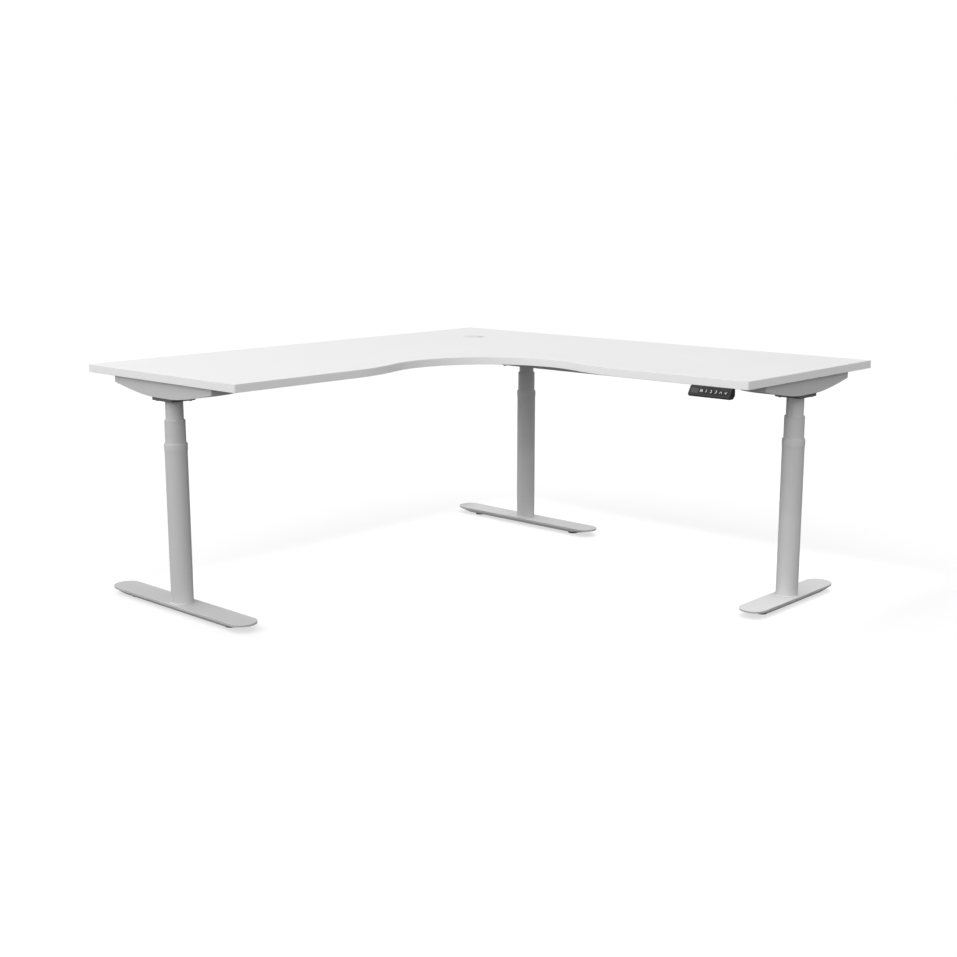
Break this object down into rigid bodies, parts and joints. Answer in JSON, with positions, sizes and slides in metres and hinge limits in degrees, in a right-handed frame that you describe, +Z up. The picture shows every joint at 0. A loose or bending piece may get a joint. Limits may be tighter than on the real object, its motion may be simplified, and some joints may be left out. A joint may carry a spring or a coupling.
{
  "type": "height adjustable corner desk",
  "caption": "White L-shaped electric sit-stand desk on telescopic round column legs, with a curved inner corner, a cable grommet and an under-edge handset.",
  "frame": {"origin": "on the floor, under the centre of the desktop's bounding box", "axes": "+Z up; +X along the return wing; -Y along the main wing; the wings meet at the back corner (-X, +Y)"},
  "size_m": [1.8, 1.8, 0.7575],
  "materials": {
    "white_board": "matt white melamine on particle board",
    "white_edge": "matt white edge banding",
    "white_paint": "fine-textured white powder coat",
    "white_plastic": "satin white moulding",
    "black_plastic": "fine-textured black moulding",
    "black_gloss": "gloss black moulding",
    "dark_casting": "dark grey painted casting",
    "glide_rubber": "black rubber",
    "screw_steel": "rolled steel, greased",
    "bush_plastic": "natural acetal",
    "circuit_board": "green solder mask"
  },
  "bodies": {
    "base": {"left_foot": "white_paint", "left_outer_tube": "white_paint", "left_outer_collar": "white_plastic", "corner_foot": "white_paint", "corner_outer_tube": "white_paint", "corner_outer_collar": "white_plastic", "right_foot": "white_paint", "right_outer_tube": "white_paint", "right_outer_collar": "white_plastic"},
    "top": {"desktop": "white_board", "edge_band": "white_edge", "grommet_sleeve": "white_plastic", "main_rail_front": "white_paint", "main_rail_rear": "white_paint", "return_rail_front": "white_paint", "return_rail_rear": "white_paint", "return_bracket": "white_paint", "control_box_lid": "black_plastic", "control_box_tray": "black_plastic", "control_board": "circuit_board", "handset_housing": "black_plastic", "handset_fascia": "black_gloss", "handset_board": "circuit_board", "left_inner_tube": "white_paint", "left_arm": "white_paint", "left_gearbox": "dark_casting", "left_motor": "dark_casting", "corner_inner_tube": "white_paint", "corner_arm": "white_paint", "corner_gearbox": "dark_casting", "corner_motor": "dark_casting", "right_inner_tube": "white_paint", "right_arm": "white_paint", "right_gearbox": "dark_casting", "right_motor": "dark_casting"},
    "left_middle_stage": {"left_middle_tube": "white_paint", "left_middle_collar": "white_plastic", "left_nut_tube": "bush_plastic"},
    "corner_middle_stage": {"corner_middle_tube": "white_paint", "corner_middle_collar": "white_plastic", "corner_nut_tube": "bush_plastic"},
    "right_middle_stage": {"right_middle_tube": "white_paint", "right_middle_collar": "white_plastic", "right_nut_tube": "bush_plastic"},
    "left_screw": {"left_drive_screw": "screw_steel"},
    "corner_screw": {"corner_drive_screw": "screw_steel"},
    "right_screw": {"right_drive_screw": "screw_steel"},
    "left_front_glide": {"left_front_glide": "glide_rubber"},
    "left_rear_glide": {"left_rear_glide": "glide_rubber"},
    "corner_front_glide": {"corner_front_glide": "glide_rubber"},
    "corner_rear_glide": {"corner_rear_glide": "glide_rubber"},
    "right_front_glide": {"right_front_glide": "glide_rubber"},
    "right_rear_glide": {"right_rear_glide": "glide_rubber"},
    "cap": {"grommet_cap": "white_plastic"},
    "button_1": {"button_1": "black_plastic"},
    "button_2": {"button_2": "black_plastic"},
    "button_3": {"button_3": "black_plastic"},
    "button_4": {"button_4": "black_plastic"},
    "button_5": {"button_5": "black_plastic"},
    "button_6": {"button_6": "black_plastic"}
  },
  "joints": [
    {"name": "lift", "type": "slide", "parent": "base", "child": "top", "axis": [0, 0, 1], "range_m": [-0.12, 0.5]},
    {"name": "left_middle_slide", "type": "slide", "parent": "base", "child": "left_middle_stage", "axis": [0, 0, 1], "range_m": [-0.06, 0.25]},
    {"name": "corner_middle_slide", "type": "slide", "parent": "base", "child": "corner_middle_stage", "axis": [0, 0, 1], "range_m": [-0.06, 0.25]},
    {"name": "right_middle_slide", "type": "slide", "parent": "base", "child": "right_middle_stage", "axis": [0, 0, 1], "range_m": [-0.06, 0.25]},
    {"name": "left_screw_turn", "type": "hinge", "parent": "top", "child": "left_screw", "pos_m": [-0.5225, -0.842, 0.5], "axis": [0, 0, 1], "range_deg": [-2160.5, 9000.5]},
    {"name": "corner_screw_turn", "type": "hinge", "parent": "top", "child": "corner_screw", "pos_m": [-0.5225, 0.82, 0.5], "axis": [0, 0, 1], "range_deg": [-2160.5, 9000.5]},
    {"name": "right_screw_turn", "type": "hinge", "parent": "top", "child": "right_screw", "pos_m": [0.84, 0.5225, 0.5], "axis": [0, 0, 1], "range_deg": [-2160.5, 9000.5]},
    {"name": "left_front_glide_height", "type": "slide", "parent": "base", "child": "left_front_glide", "axis": [0, 0, -1], "range_m": [0, 0.01]},
    {"name": "left_rear_glide_height", "type": "slide", "parent": "base", "child": "left_rear_glide", "axis": [0, 0, -1], "range_m": [0, 0.01]},
    {"name": "corner_front_glide_height", "type": "slide", "parent": "base", "child": "corner_front_glide", "axis": [0, 0, -1], "range_m": [0, 0.01]},
    {"name": "corner_rear_glide_height", "type": "slide", "parent": "base", "child": "corner_rear_glide", "axis": [0, 0, -1], "range_m": [0, 0.01]},
    {"name": "right_front_glide_height", "type": "slide", "parent": "base", "child": "right_front_glide", "axis": [0, 0, -1], "range_m": [0, 0.01]},
    {"name": "right_rear_glide_height", "type": "slide", "parent": "base", "child": "right_rear_glide", "axis": [0, 0, -1], "range_m": [0, 0.01]},
    {"name": "cap_turn", "type": "hinge", "parent": "top", "child": "cap", "pos_m": [-0.612, 0.612, 0.757], "axis": [0, 0, 1], "continuous": true},
    {"name": "press_1", "type": "slide", "parent": "top", "child": "button_1", "axis": [0, 0.8506, -0.5258], "range_m": [0, 0.0008], "stiffness_N_per_m": 1200, "springref_m": -0.0008},
    {"name": "press_2", "type": "slide", "parent": "top", "child": "button_2", "axis": [0, 0.8506, -0.5258], "range_m": [0, 0.0008], "stiffness_N_per_m": 1200, "springref_m": -0.0008},
    {"name": "press_3", "type": "slide", "parent": "top", "child": "button_3", "axis": [0, 0.8506, -0.5258], "range_m": [0, 0.0008], "stiffness_N_per_m": 1200, "springref_m": -0.0008},
    {"name": "press_4", "type": "slide", "parent": "top", "child": "button_4", "axis": [0, 0.8506, -0.5258], "range_m": [0, 0.0008], "stiffness_N_per_m": 1200, "springref_m": -0.0008},
    {"name": "press_5", "type": "slide", "parent": "top", "child": "button_5", "axis": [0, 0.8506, -0.5258], "range_m": [0, 0.0008], "stiffness_N_per_m": 1200, "springref_m": -0.0008},
    {"name": "press_6", "type": "slide", "parent": "top", "child": "button_6", "axis": [0, 0.8506, -0.5258], "range_m": [0, 0.0008], "stiffness_N_per_m": 1200, "springref_m": -0.0008}
  ],
  "couplings": [
    {"joint": "left_middle_slide", "follows": "lift", "ratio": 0.5},
    {"joint": "corner_middle_slide", "follows": "lift", "ratio": 0.5},
    {"joint": "right_middle_slide", "follows": "lift", "ratio": 0.5},
    {"joint": "left_screw_turn", "follows": "lift", "rad_per_m": 314.16},
    {"joint": "corner_screw_turn", "follows": "lift", "rad_per_m": 314.16},
    {"joint": "right_screw_turn", "follows": "lift", "rad_per_m": 314.16}
  ]
}
